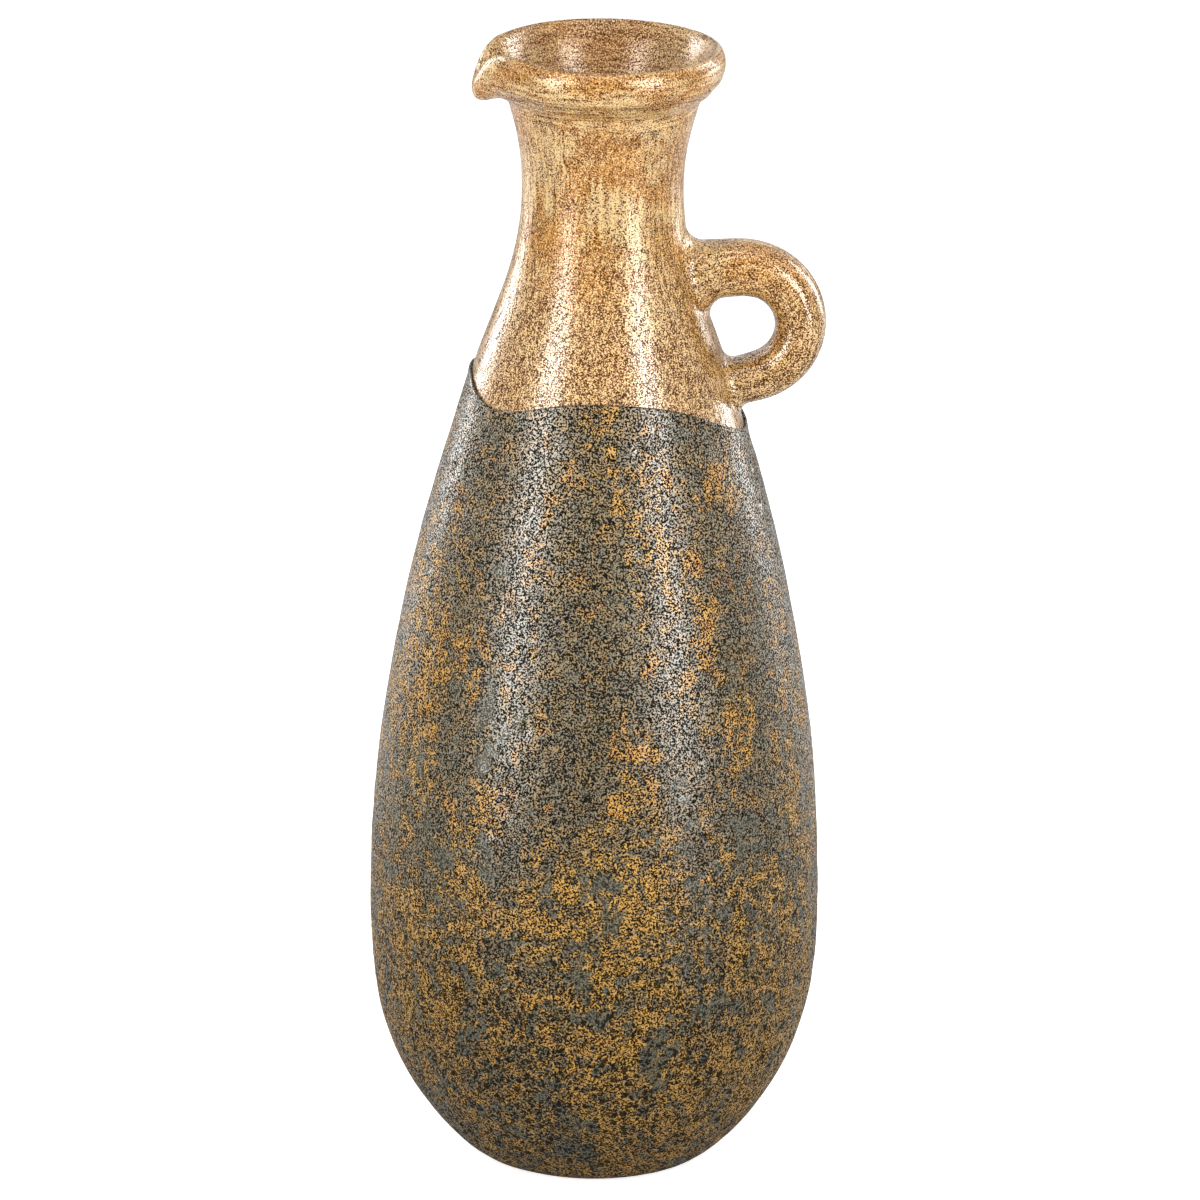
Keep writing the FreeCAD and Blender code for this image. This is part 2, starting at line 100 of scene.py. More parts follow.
class CoatSizes(bpy.types.PropertyGroup):
    """The mineral coat's mesh and relief."""

    columns: IntProperty(name="Columns", description="Faces round the coat", default=372, min=24)
    rows: IntProperty(name="Rows", description="Faces from the foot to the coat's edge", default=208, min=24)
    inner_rows: IntProperty(name="Inner rows", description="Faces up the hidden side", default=34, min=4)
    thickness: length("Thickness", "From the clay to the coat's highest grains", 1.15 * MM)
    lump: length("Lump", "Height of the broad lumps", 0.28 * MM)
    grit: length("Grit", "Height of the coarse grit", 0.14 * MM)
    ridge: length("Ridge", "Height of the wormy ridges", 0.45 * MM)
    crater: length("Crater", "Depth of the round hollows", 0.65 * MM)
    lip: length("Lip", "How far the coat's edge swells", 0.35 * MM)
    tatter: length("Tatter", "How raggedly the coat's edge runs", 0.9 * MM)


class PaintColours(bpy.types.PropertyGroup):
    """Colours of the rubbed gold paint."""

    ochre: colour("Ochre", "The paint over most of the neck", tone(182, 120, 42))
    # Umber is also the colour of the painted shade on the sides that face the jug's axis.
    umber: colour("Umber", "The thin, darker rubbed places", tone(140, 84, 18))
    champagne: colour("Champagne", "The pale, thick places", tone(226, 198, 148))
    # Fleck is also the colour of the painted shade in the rim's tuck and groove.
    fleck: colour("Fleck", "The dark pores", tone(66, 38, 8))
    spark: colour("Spark", "The bright grains", tone(246, 206, 134))


class CoatColours(bpy.types.PropertyGroup):
    """Colours of the mineral coat."""

    slate: colour("Slate", "The dark green-grey ground", tone(34, 34, 24))
    moss: colour("Moss", "The olive tinge in the ground", tone(62, 54, 28))
    steel: colour("Steel", "The smooth grey-green islands", tone(58, 60, 48))
    gold: colour("Gold", "The ochre gold rubbed over the grit", tone(206, 152, 38))
    rust: colour("Rust", "The warm orange places in the gold", tone(180, 114, 22))
    # Not a colour of the coat: the painted shade in its hollows and pits and along its edge.
    painted_shade: colour("Painted shade", "The pits between the grains", tone(12, 10, 7))
    brass: colour("Brass", "The duller gold near the foot", tone(146, 110, 46))
    silver: colour("Silver", "The high grains that took no gold", tone(94, 84, 50))


class ClayColours(bpy.types.PropertyGroup):
    """Colours of the bare fired clay."""

    clay: colour("Clay", "The bare fired clay", tone(176, 112, 78))
    cloud: colour("Cloud", "The deeper clouds in the vessel's clay", tone(150, 90, 60))
    tooth: colour("Tooth", "The dark tooth of the vessel's clay", tone(112, 66, 42))
    throat_cloud: colour("Throat cloud", "The deeper clouds in the neck's clay", tone(150, 92, 62))
    throat_pore: colour("Throat pore", "The dark pores in the neck's clay", tone(110, 66, 42))


class StageSizes(bpy.types.PropertyGroup):
    """The camera and the floor."""

    camera_distance: length("Camera distance", "From the middle of the jug to the lens", 3.0)
    camera_pitch: angle("Camera pitch", "How far the camera looks down", 18.7)
    camera_roll: angle("Camera roll", "How far the frame is tipped", 0.736)
    aim_height: length("Aim height", "The height that the camera looks at", 0.25)
    focal_length: FloatProperty(
        name="Focal length", description="On a frame 36 mm wide", default=206.4, unit="CAMERA"
    )
    shift_right: FloatProperty(name="Shift right", description="Share of the frame's width", default=0.00202)
    shift_up: FloatProperty(name="Shift up", description="Share of the frame's width", default=0.00287)
    floor_radius: length("Floor radius", "How far the pale floor reaches", 14.0)


GROUPS = {
    "jug_form": FormSizes,
    "jug_coat": CoatSizes,
    "jug_paint_colours": PaintColours,
    "jug_coat_colours": CoatColours,
    "jug_clay_colours": ClayColours,
    "jug_stage": StageSizes,
}


# Shader arithmetic


class Strand:
    """One output of the nodes of a finish. Ordinary arithmetic on it adds Math nodes."""

    def __init__(self, finish, socket):
        self.finish = finish
        self.socket = socket

    def math(self, operation, *values, clamp=False):
        settings = {"operation": operation, "use_clamp": clamp}
        return self.finish.strand("ShaderNodeMath", settings, dict(enumerate(values)))

    def __add__(self, other):
        return self.math("ADD", self, other)

    def __sub__(self, other):
        return self.math("SUBTRACT", self, other)

    def __rsub__(self, other):
        return self.math("SUBTRACT", other, self)

    def __mul__(self, other):
        return self.math("MULTIPLY", self, other)

    def __truediv__(self, other):
        return self.math("DIVIDE", self, other)

    def __pow__(self, other):
        return self.math("POWER", self, other)

    def __abs__(self):
        return self.math("ABSOLUTE", self)

    __radd__ = __add__
    __rmul__ = __mul__

    def clamped(self):
        return self.math("ADD", self, 0.0, clamp=True)

    def over(self, low, high):
        """0 below low, 1 above high and smooth between; the other way round if low is the larger."""
        settings = {"interpolation_type": "SMOOTHSTEP", "clamp": True}
        start, end, first, last = (low, high, 0.0, 1.0) if low < high else (high, low, 1.0, 0.0)
        sockets = {0: self, 1: start, 2: end, 3: first, 4: last}
        return self.finish.strand("ShaderNodeMapRange", settings, sockets)


class Nodes:
    """A tree of shader nodes under construction."""

    def __init__(self, tree, output):
        self.tree = tree
        self.tree.nodes.clear()
        self.output = self.add(output)

    def add(self, kind, settings=None, sockets=None):
        """A node of a kind, with its settings made first and then its sockets set or linked."""
        node = self.tree.nodes.new(kind)
        for name, value in (settings or {}).items():
            setattr(node, name, value)
        for name, value in (sockets or {}).items():
            if isinstance(value, Strand):
                self.tree.links.new(value.socket, node.inputs[name])
            elif isinstance(value, tuple) and len(value) == 3 and len(node.inputs[name].default_value) == 4:
                node.inputs[name].default_value = (*value, 1.0)
            else:
                node.inputs[name].default_value = value
        return node

    def strand(self, kind, settings=None, sockets=None, output=0):
        """One output of a new node."""
        return Strand(self, self.add(kind, settings, sockets).outputs[output])

    def end(self, shader):
        """Gives the tree's output its shader."""
        self.tree.links.new(shader.socket, self.output.inputs[0])


class Finish(Nodes):
    """A material under construction, with the object's own coordinates as its place."""

    def __init__(self, name):
        self.material = bpy.data.materials.new(name)
        self.material.use_nodes = True
        super().__init__(self.material.node_tree, "ShaderNodeOutputMaterial")
        self.place = self.strand("ShaderNodeTexCoord", output="Object")

    def attribute(self, name):
        return self.strand("ShaderNodeAttribute", {"attribute_name": name}, output="Fac")

    def axes(self, vector=None):
        node = self.add("ShaderNodeSeparateXYZ", None, {0: vector or self.place})
        return [Strand(self, output) for output in node.outputs]

    def mapped(self, offset=(0.0, 0.0, 0.0), scale=(1.0, 1.0, 1.0)):
        """The object's coordinates, shifted and scaled."""
        sockets = {"Vector": self.place, "Location": offset, "Scale": scale}
        return self.strand("ShaderNodeMapping", None, sockets)

    def grain(self, span, detail=2.0, roughness=0.5, distortion=0.0, vector=None):
        """Cloudy noise from 0 to 1, whose clouds are about a span across."""
        sockets = {
            "Vector": vector or self.place,
            "Scale": 1.0 / span,
            "Detail": detail,
            "Roughness": roughness,
            "Distortion": distortion,
        }
        return self.strand("ShaderNodeTexNoise", None, sockets)

    def ring_grain(self, ring, across, along):
        """Streaks that run round a ring, which comes as a cosine and a sine, and fine across it."""
        first, second = across[0] / STROKE_ACROSS, across[1] / STROKE_ACROSS
        vector = self.strand("ShaderNodeCombineXYZ", None, {0: ring[0] * along, 1: ring[1] * along, 2: first})
        sockets = {"Vector": vector, "W": second, "Scale": 1.0, "Detail": 2.0, "Roughness": 0.6}
        return self.strand("ShaderNodeTexNoise", {"noise_dimensions": "4D"}, sockets)

    def cells(self, span, output="Distance"):
        """Random cells about a span across: the distance to the middle of the nearest, or its colour."""
        return self.strand("ShaderNodeTexVoronoi", None, {"Vector": self.place, "Scale": 1.0 / span}, output)

    def blend(self, share, first, second):
        """A colour that goes from the first to the second."""
        return self.strand("ShaderNodeMix", {"data_type": "RGBA"}, {0: share, 6: first, 7: second}, 2)

    def bumped(self, height):
        """The normal of a surface raised by a height in millimetres."""
        return self.strand("ShaderNodeBump", None, {"Height": height, "Distance": MM, "Strength": 1.0})

    def shade(self, sockets, dull=None, share=None):
        """Ends the finish with its shader, or with a share of a duller one, and returns the material."""
        shader = self.strand("ShaderNodeBsdfPrincipled", None, sockets)
        if dull is not None:
            matt = self.strand("ShaderNodeBsdfPrincipled", None, dull)
            shader = self.strand("ShaderNodeMixShader", None, {0: share, 1: shader, 2: matt})
        self.end(shader)
        return self.material


# Finishes

# Brush marks: the width and length of the upright ones, the width of those that run round, and the
# radius, in clouds of noise, of the circle that these follow through it.
STROKE_WIDTH = 1.6 * MM
STROKE_LENGTH = 16 * MM
STROKE_ACROSS = 1.4 * MM
RIM_STROKES = 3.5
LOOP_STROKES = 2.2

# Gold paint: the spans of its grain, the heights between which it darkens down the neck, and where
# and how unevenly it ends in the throat.
PAINT_CLOUD = 34 * MM
PAINT_PATCH = 13 * MM
PAINT_GRIT = 0.72 * MM
PAINT_FINE = 0.55 * MM
PAINT_DEEPENS = (0.43, 0.37)
PAINT_ENDS = (0.436, 0.424)
PAINT_END_WANDER = 22 * MM

# Mineral coat: the spans of its grain, and the heights between which its parts come and go.
COAT_CLOUD = 52 * MM
COAT_PATCH = 17 * MM
COAT_SMEAR = 8 * MM
COAT_CLUMP = 7.5 * MM
COAT_PIT = 4.6 * MM
COAT_NET = 3.0 * MM
COAT_SPONGE = 2.4 * MM
COAT_GRIT = 0.85 * MM
COAT_FINE = 0.6 * MM
ISLANDS_GROW = (0.24, 0.12)
COAT_LOW = (0.24, 0.04)
COAT_HIGH = (0.27, 0.34)
WORMS_GROW = (0.21, 0.15)
WORMS_END = (0.03, 0.06)

# Bare clay: the spans of its clouds and tooth, and the pitch of its throwing rings.
CLAY_CLOUD = 30 * MM
CLAY_TOOTH = 0.9 * MM
RING_PITCH = 2.2 * MM


def upright_streaks(finish):
    """Brush marks that run up and down."""
    strokes = finish.mapped(scale=(1 / STROKE_WIDTH, 1 / STROKE_WIDTH, 1 / STROKE_LENGTH))
    return finish.grain(1.0, 3.0, 0.6, vector=strokes)


def round_streaks(finish):
    """Brush marks that run round the rim."""
    x, y, z = finish.axes()
    radius = (x * x + y * y) ** 0.5
    return finish.ring_grain((x / radius, y / radius), (radius, z), RIM_STROKES)


def loop_streaks(middle):
    """Brush marks that run along the loop, which bends about a point of the XZ plane."""

    def streaks(finish):
        x, y, z = finish.axes()
        across, up = x - middle[0], z - middle[1]
        radius = (across * across + up * up) ** 0.5
        return finish.ring_grain((across / radius, up / radius), (radius, y), LOOP_STROKES)

    return streaks


def throat_clay(finish, patches, broad, pores, colours):
    """The throat, where the brush did not reach: how far its clay is bare, and the clay's colour."""
    depth = finish.axes()[2] + (patches - 0.5) * PAINT_END_WANDER
    bare = finish.attribute("inside") * depth.over(*PAINT_ENDS)
    clay = finish.blend(broad.over(0.35, 0.7), colours.clay[:], colours.throat_cloud[:])
    return bare, finish.blend((pores * 0.6).clamped(), clay, colours.throat_pore[:])


def gold_paint(name, streaks, colours, clay_colours=None):
    """Rubbed bronze-gold paint: ochre with thin brown and thick pale places, pores and bright grains.
    With the clay's colours, the paint ends in the throat."""
    finish = Finish(name)
    strokes = streaks(finish)
    z = finish.axes()[2]
    broad = finish.grain(PAINT_CLOUD, 3.0, 0.55, 0.4)
    patches = finish.grain(PAINT_PATCH, 4.0, 0.6, 0.6, finish.mapped(offset=(0.31, 0.17, 0.05)))
    grit = finish.grain(PAINT_GRIT, 2.0, 0.6)
    fine = finish.grain(PAINT_FINE, 1.0, 0.5, vector=finish.mapped(offset=(0.9, 0.4, 0.2)))

    low = z.over(*PAINT_DEEPENS)
    thin = (patches * 0.75 + strokes * 0.55 + broad * 0.3 + low * 0.17).over(0.75, 0.90)
    thick = (broad * 0.8 + strokes * 0.35 - patches * 0.2 - low * 0.09).over(0.40, 0.56)
    strength = low * 6.0 + 8.0 + (broad - 0.5) * 8.0
    speckle = ((grit - 0.5) * 0.75 + (fine - 0.5) * 0.7 + (strokes - 0.5) * 0.35) * strength
    pores = (0.0 - speckle - 0.12).clamped()
    sparks = (speckle - 0.12).clamped()
    painted_crease_shade = (finish.attribute("crease_shade") * 0.9).clamped()

    shown = finish.blend((thin * 0.95).clamped(), colours.ochre[:], colours.umber[:])
    shown = finish.blend(thick * (0.66 - low * 0.26), shown, colours.champagne[:])
    # Painted shade: sides that face the jug's axis, inside the mouth and on the loop's inner side, darkened
    # towards umber.
    shown = finish.blend((finish.attribute("inside") * 0.55).clamped(), shown, colours.umber[:])
    # Painted shade in the tuck and the groove, in the fleck colour.
    shown = finish.blend(painted_crease_shade, shown, colours.fleck[:])
    shown = finish.blend((pores * 1.5).clamped(), shown, colours.fleck[:])
    shown = finish.blend((sparks * 0.8).clamped(), shown, colours.spark[:])
    rough = 0.22 + pores * 0.3 + thin * 0.05
    metal = 0.10 - pores * 0.10
    height = grit * 0.10 + fine * 0.04 + strokes * 0.08 + patches * 0.25
    if clay_colours is not None:
        bare, clay = throat_clay(finish, patches, broad, pores, clay_colours)
        shown = finish.blend(bare, shown, clay)
        metal = metal * (1.0 - bare)
        rough = rough + bare * 0.45
    sockets = {
        "Base Color": shown,
        "Metallic": metal.clamped(),
        "Roughness": rough.clamped(),
        "Specular IOR Level": 0.6,
        "Coat IOR": 1.75,
        "Coat Weight": (low * 0.65 + 0.35).clamped(),
        "Coat Roughness": 0.23,
        "Normal": finish.bumped(height),
    }
    dull = {"Base Color": shown, "Roughness": 0.9, "Specular IOR Level": 0.1}
    return finish.shade(sockets, dull, (pores * 1.3).clamped())


def mineral_coat(colours):
    """A gritty dark coat with gold rubbed over its high grains, and painted shade in the pits and hollows
    between them.
    """
    finish = Finish("mineral_coat")
    z = finish.axes()[2]
    worm = finish.attribute("worm")

    broad = finish.grain(COAT_CLOUD, 3.0, 0.55, 0.5, finish.mapped(scale=(1.0, 1.0, 0.55)))
    patch_place = finish.mapped(offset=(0.3, 0.8, 0.1), scale=(1.0, 1.0, 0.6))
    patches = finish.grain(COAT_PATCH, 4.0, 0.62, 0.8, patch_place)
    smears = finish.grain(COAT_SMEAR, 3.0, 0.6, 0.5, finish.mapped(offset=(0.7, 0.1, 0.5)))
    net = finish.grain(COAT_NET, 2.0, 0.6, 1.5)
    grit = finish.grain(COAT_GRIT, 1.5, 0.6)
    fine = finish.grain(COAT_FINE, 1.0, 0.5, vector=finish.mapped(offset=(0.2, 0.6, 0.9)))
    clumps = finish.grain(COAT_CLUMP, 4.0, 0.62, 0.9, finish.mapped(offset=(0.4, 0.5, 0.3))).over(0.44, 0.54)

    # Smooth islands where neither grit nor gold took, and a sponge of round holes that opens lower down.
    islands = (patches * 0.55 + smears * 0.45 - z.over(*ISLANDS_GROW) * 0.045).over(0.43, 0.39)
    low = z.over(*COAT_LOW)
    high = z.over(*COAT_HIGH)
    sponge = finish.cells(COAT_SPONGE) + (smears - 0.5) * 0.5 + (grit - 0.5) * 0.8
    holes = sponge.over(0.44, 0.30) * low
    pit_kind = finish.axes(finish.cells(COAT_PIT, "Color"))[0]
    pits = (finish.cells(COAT_PIT) + pit_kind * 0.45 - low * 0.08).over(0.33, 0.25)
    pits = pits * (1.0 - islands * 0.6) * (low * 0.5 + 0.2)

    # Grains, from the hollows between them, which get painted shade, to their tops.
    grains = ((grit - 0.5) * 0.7 + (fine - 0.5) * 0.6) * 20.0
    shaded_hollows = ((0.10 - grains).clamped() * (1.0 - islands * 0.8) + holes * 0.5).clamped()
    tops = (grains - 0.16).clamped()

    # Gold, rubbed on in patches and clumps, and lying along strands, veins and the wormy ridges.
    rubbed = (broad * 0.40 + patches * 0.35 + smears * 0.35 + low * 0.03 - high * 0.05).over(0.52, 0.64)
    strands = (1.0 - abs(net - 0.5) * 2.0).over(0.88, 0.97)
    veins = (1.0 - abs(smears - 0.5) * 2.0).over(0.95, 0.985) * low
    ridges = (1.0 - abs(worm) * 11.0).over(0.2, 0.8) * z.over(*WORMS_GROW) * z.over(*WORMS_END)
    gold = (rubbed + 0.14 - low * 0.06) * tops * 1.3 + rubbed * strands * 0.3 + strands * 0.2
    gold = gold * (clumps * 0.85 + 0.15) + (veins * 0.9 + ridges * 0.8) * (tops * 0.5 + 0.5)
    gold = gold.clamped() * (1.0 - pits) * (1.0 - islands * 0.75)

    ground = finish.blend(broad.over(0.38, 0.62), colours.slate[:], colours.moss[:])
    ground = finish.blend(islands * 0.8, ground, colours.steel[:])
    silver = (tops * (1.0 - islands * low * 0.8) * (1.0 - rubbed * 0.7) * (1.0 - low * 0.62)).clamped()
    shown = finish.blend(silver, ground, colours.silver[:])
    warmth = (smears * 0.6 + patches * 0.4).over(0.54, 0.66) * 0.8
    gilt = finish.blend(warmth, colours.gold[:], colours.rust[:])
    gilt = finish.blend(low * 0.6, gilt, colours.brass[:])
    shown = finish.blend(gold, shown, gilt)
    # Painted shade: the hollows between the grains and the sponge's holes darkened nearly to black.
    shown = finish.blend((shaded_hollows * 1.5).clamped(), shown, colours.painted_shade[:])
    # Painted shade in the round pits, which the relief also sinks.
    shown = finish.blend(pits * 0.9, shown, colours.painted_shade[:])
    # A painted shadow line along the coat's turned-over edge.
    shown = finish.blend((finish.attribute("rim") * 0.8).clamped(), shown, colours.painted_shade[:])

    relief = (grit * 0.36 + fine * 0.16) * (1.0 - islands * 0.5)
    relief = relief + net * 0.15 + ridges * 0.2 - pits * 0.4 - holes * 0.15
    sockets = {
        "Base Color": shown,
        "Roughness": (0.17 + gold * 0.06 + low * 0.14 + islands * 0.1).clamped(),
        "Specular IOR Level": 0.8,
        "Coat Weight": (tops * (1.0 - low * 0.4) * (1.0 - gold * 0.5)).clamped(),
        "Coat Roughness": 0.28,
        "Coat IOR": 1.9,
        "Normal": finish.bumped(relief),
    }
    dull = {"Base Color": shown, "Roughness": 0.9, "Specular IOR Level": 0.08}
    return finish.shade(sockets, dull, (shaded_hollows * 1.8 + pits + (1.0 - tops) * 0.30 + low * 0.25).clamped())


def bare_clay(colours):
    """Unglazed fired clay with throwing rings and fine tooth."""
    finish = Finish("fired_clay")
    cloud = finish.grain(CLAY_CLOUD, 4.0, 0.6)
    tooth = finish.grain(CLAY_TOOTH, 3.0, 0.6)
    rings = finish.grain(1.0, 2.0, 0.5, vector=finish.mapped(scale=(2.0, 2.0, 1 / RING_PITCH)))
    shown = finish.blend(cloud.over(0.35, 0.65), colours.clay[:], colours.cloud[:])
    shown = finish.blend(tooth.over(0.5, 0.38) * 0.5, shown, colours.tooth[:])
    sockets = {
        "Base Color": shown,
        "Roughness": (0.78 + tooth * 0.15).clamped(),
        "Normal": finish.bumped(tooth * 0.12 + rings * 0.25 + cloud * 0.2),
    }
    return finish.shade(sockets)


# Forms

# Copies of CAD nodes: how near their doubled corners lie, how short a dead edge is, and the angle
# past which an edge stays sharp.
DOUBLED = 0.004 * MM
DEAD = 0.002 * MM
SHARP = math.radians(40)

# The tuck under the rim begins beside the beak, which points to -X: how far the outward direction
# still points there, over what share of it the tuck fades in, and how dark the painted shade in it is.
BEAK_REACH = 0.97
BEAK_FADE = 0.12
TUCK_SHADE = 0.55

# The rim's groove lies where the surface faces this far outwards, is this wide by the same measure,
# fades from the near side to the far side, and carries painted shade this dark.
GROOVE_FACING = 0.12
GROOVE_WIDTH = 0.14
GROOVE_FADE = 1.6
GROOVE_SHADE = 0.7

# Across the loop, the share of its width at which its bend has its middle.
LOOP_MIDDLE = 0.415

# The coat's relief: the spans of its forms, the size of ridges and craters within them, its places
# in the noise, the heights between which worms lie, and how thin the coat may get.
LUMP_SPAN = 17 * MM
GRIT_SPAN = 4.2 * MM
WORM_SPAN = 13 * MM
WORMY_SPAN = 55 * MM
CRATER_SPAN = 15 * MM
RIDGE_WIDTH = 0.06
CRATER_WIDTH = 0.17
GRIT_PLACE = Vector((7.0, 1.0, 3.0))
WORM_PLACE = Vector((2.0, 9.0, 4.0))
WORMY_PLACE = Vector((5.0, 5.0, 1.0))
CRATER_PLACE = Vector((0.5, 0.2, 0.7))
WORM_TOP = 0.20
WORM_TOP_FADE = 0.04
WORM_FOOT = 0.03
WORM_FOOT_FADE = 0.03
FAINTEST_WORM = 0.05
THINNEST = 0.12 * MM

# The coat's edge: the ring on which its raggedness is read, in millimetres, the spans of that
# raggedness and of the swollen lip, the shares of the turn over the edge, and how near the two
# sides of a seam lie.
EDGE_RING = 62
TATTER_SPAN = 9 * MM
FINE_TATTER_SPAN = 3.4 * MM
LIP_SPAN = 2.4 * MM
EDGE_TURNS = (0.25, 0.5, 0.75)
SEAM = 0.001 * MM


def kept(value):
    """A value kept between 0 and 1."""
    return min(max(value, 0.0), 1.0)


def hump(distance, width):
    """1 at no distance, falling smoothly to nothing over about two widths."""
    return math.exp(-((distance / width) ** 2))


def outward_at(azimuth):
    return Vector((math.cos(azimuth), math.sin(azimuth), 0.0))


def formed(point, sizes):
    """Where a point of the true jug lies on the one that a hand has formed. Heights are kept."""
    sway = noise.noise_vector(point / sizes.sway_span) * sizes.sway
    ripple = noise.noise_vector(point / sizes.ripple_span) * sizes.ripple
    moved = sway + ripple
    return point + Vector((moved.x, moved.y, 0.0))


def add_piece(name, shell, material, nodes):
    """Turns a bmesh into a piece that stands for CAD nodes."""
    mesh = bpy.data.meshes.new(name)
    shell.to_mesh(mesh)
    shell.free()
    mesh.materials.append(material)
    piece = bpy.data.objects.new(name, mesh)
    bpy.context.scene.collection.objects.link(piece)
    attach(piece, BODY)
    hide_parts(*nodes)


def hand_formed_copy(node, grooved=False):
    """The merged mesh of a CAD node, swayed as if formed by hand, marked where it faces the axis and with
    painted shade in its tuck and groove.
    """
    shell = bmesh.new()
    shell.from_mesh(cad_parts[node].data)
    bmesh.ops.remove_doubles(shell, verts=shell.verts, dist=DOUBLED)
    bmesh.ops.dissolve_degenerate(shell, dist=DEAD, edges=shell.edges)
    bmesh.ops.recalc_face_normals(shell, faces=shell.faces)
    shell.normal_update()
    sizes = bpy.context.scene.jug_form
    noise.seed_set(sizes.seed)
    inside = shell.verts.layers.float.new("inside")
    crease_shade = shell.verts.layers.float.new("crease_shade")
    tuck_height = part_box("rolled_rim")[0].z + sizes.tuck_rise
    for vert in shell.verts:
        outward = Vector((vert.co.x, vert.co.y, 0.0)).normalized()
        facing = vert.normal.dot(outward)
        vert[inside] = 1.0 if facing < 0.0 else 0.0
        beside_beak = kept((outward.x + BEAK_REACH) / BEAK_FADE) if facing > 0.0 else 0.0
        tuck = beside_beak * hump(vert.co.z - tuck_height, sizes.tuck_span)
        groove = 0.0
        if grooved and vert.normal.z > 0.0:
            groove = kept(0.5 - GROOVE_FADE * outward.y) * hump(facing - GROOVE_FACING, GROOVE_WIDTH)
        # Painted shade for the tuck and the groove, which the gold paint lays on in its fleck colour.
        vert[crease_shade] = TUCK_SHADE * tuck + GROOVE_SHADE * groove
        pressed = outward * (tuck * sizes.tuck)
        vert.co = formed(vert.co, sizes) - pressed - vert.normal * (groove * sizes.groove)
    for face in shell.faces:
        face.smooth = True
    for edge in shell.edges:
        if len(edge.link_faces) == 2 and edge.calc_face_angle() > SHARP:
            edge.smooth = False
    return shell


class Skin:
    """The coat's outer surface as the CAD node gives it, read with rays."""

    LOWEST_EDGE = 0.3
    HIGHEST_EDGE = 0.36
    HALVINGS = 14
    FIRST_STEP = 0.02 * MM
    STEP = 0.5 * MM
    LOOKS = 24
    CLEARANCE = 10 * MM
    SLOPE_ROWS = 3
    JUST_SHORT = 0.001

    def __init__(self, node):
        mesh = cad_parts[node].data
        corners = [vert.co.copy() for vert in mesh.vertices]
        self.tree = BVHTree.FromPolygons(corners, [face.vertices[:] for face in mesh.polygons])
        self.foot = min(corner.z for corner in corners)
        self.reach = max(corner.x for corner in corners) + self.CLEARANCE
        self.profile = self.read_profile()

    def radius(self, azimuth, height):
        """Outer radius at a place, or None above the coat's edge."""
        out = outward_at(azimuth)
        start = out * self.reach + Vector((0.0, 0.0, height))
        place, _, _, distance = self.tree.ray_cast(start, -out)
        return None if place is None or distance > self.reach else self.reach - distance

    def edge(self, azimuth):
        """Height of the coat's upper edge at an azimuth."""
        low, high = self.LOWEST_EDGE, self.HIGHEST_EDGE
        for _ in range(self.HALVINGS):
            middle = (low + high) / 2.0
            low, high = (low, middle) if self.radius(azimuth, middle) is None else (middle, high)
        return low

    def read_profile(self):
        """Rows of travel up the outline, radius and height, evenly spaced in height."""
        rows = []
        height = self.foot + self.FIRST_STEP
        while height < self.HIGHEST_EDGE:
            looks = [self.radius(math.tau * n / self.LOOKS, height) for n in range(self.LOOKS)]
            found = [look for look in looks if look is not None]
            if not found:
                break
            rows.append((max(found), height))
            height += self.STEP
        travel, outline = 0.0, []
        for number, (radius, height) in enumerate(rows):
            if number:
                travel += math.hypot(radius - rows[number - 1][0], height - rows[number - 1][1])
            outline.append((travel, radius, height))
        return outline

    def travel_at(self, height):
        """How far up the outline a height lies."""
        last_place = len(self.profile) - 1 - self.JUST_SHORT
        place = min(max((height - self.profile[0][2]) / self.STEP, 0.0), last_place)
        low = int(place)
        share = place - low
        return self.profile[low][0] * (1.0 - share) + self.profile[low + 1][0] * share

    def at(self, travel):
        """Radius, height and outward normal, as radial and upward parts, at a travel up the outline."""
        first, last = 0, len(self.profile) - 1
        while last - first > 1:
            middle = (first + last) // 2
            first, last = (middle, last) if self.profile[middle][0] <= travel else (first, middle)
        here, after = self.profile[first], self.profile[last]
        share = (travel - here[0]) / (after[0] - here[0])
        radius = here[1] + share * (after[1] - here[1])
        height = here[2] + share * (after[2] - here[2])
        back = self.profile[max(first - self.SLOPE_ROWS, 0)]
        ahead = self.profile[min(last + self.SLOPE_ROWS, len(self.profile) - 1)]
        rise, spread = ahead[2] - back[2], ahead[1] - back[1]
        size = math.hypot(rise, spread)
        return radius, height, rise / size, -spread / size


def coat_relief(point, sizes):
    """How far the coat's surface lies under its highest grains there, and the mark of its worms."""
    lump = 0.5 + 0.5 * noise.noise(point / LUMP_SPAN)
    grit = 0.5 + 0.5 * noise.noise(point / GRIT_SPAN + GRIT_PLACE)
    worm = noise.noise(point / WORM_SPAN + WORM_PLACE)
    wormy = kept(noise.noise(point / WORMY_SPAN + WORMY_PLACE) * 3.0 + 0.6)
    band = kept((WORM_TOP - point.z) / WORM_TOP_FADE) * kept((point.z - WORM_FOOT) / WORM_FOOT_FADE)
    ridge = wormy * band * hump(worm, RIDGE_WIDTH)
    distances, _ = noise.voronoi(point / CRATER_SPAN + CRATER_PLACE)
    crater = hump(distances[0], CRATER_WIDTH)
    depth = sizes.lump * (1.0 - lump) + sizes.grit * (1.0 - grit) + sizes.crater * crater
    depth += sizes.ridge * (1.0 - ridge) * band * wormy * 0.5
    return min(depth, sizes.thickness - THINNEST), worm / max(wormy * band, FAINTEST_WORM)


def coat_rows(sizes):
    """The coat's closed section, as rows of a kind and a share: up the outside, over the edge and down."""
    rows = [("outside", n / sizes.rows) for n in range(sizes.rows + 1)]
    rows += [("edge", turn) for turn in EDGE_TURNS]
    rows += [("inside", 1.0 - n / sizes.inner_rows) for n in range(sizes.inner_rows + 1)]
    return rows


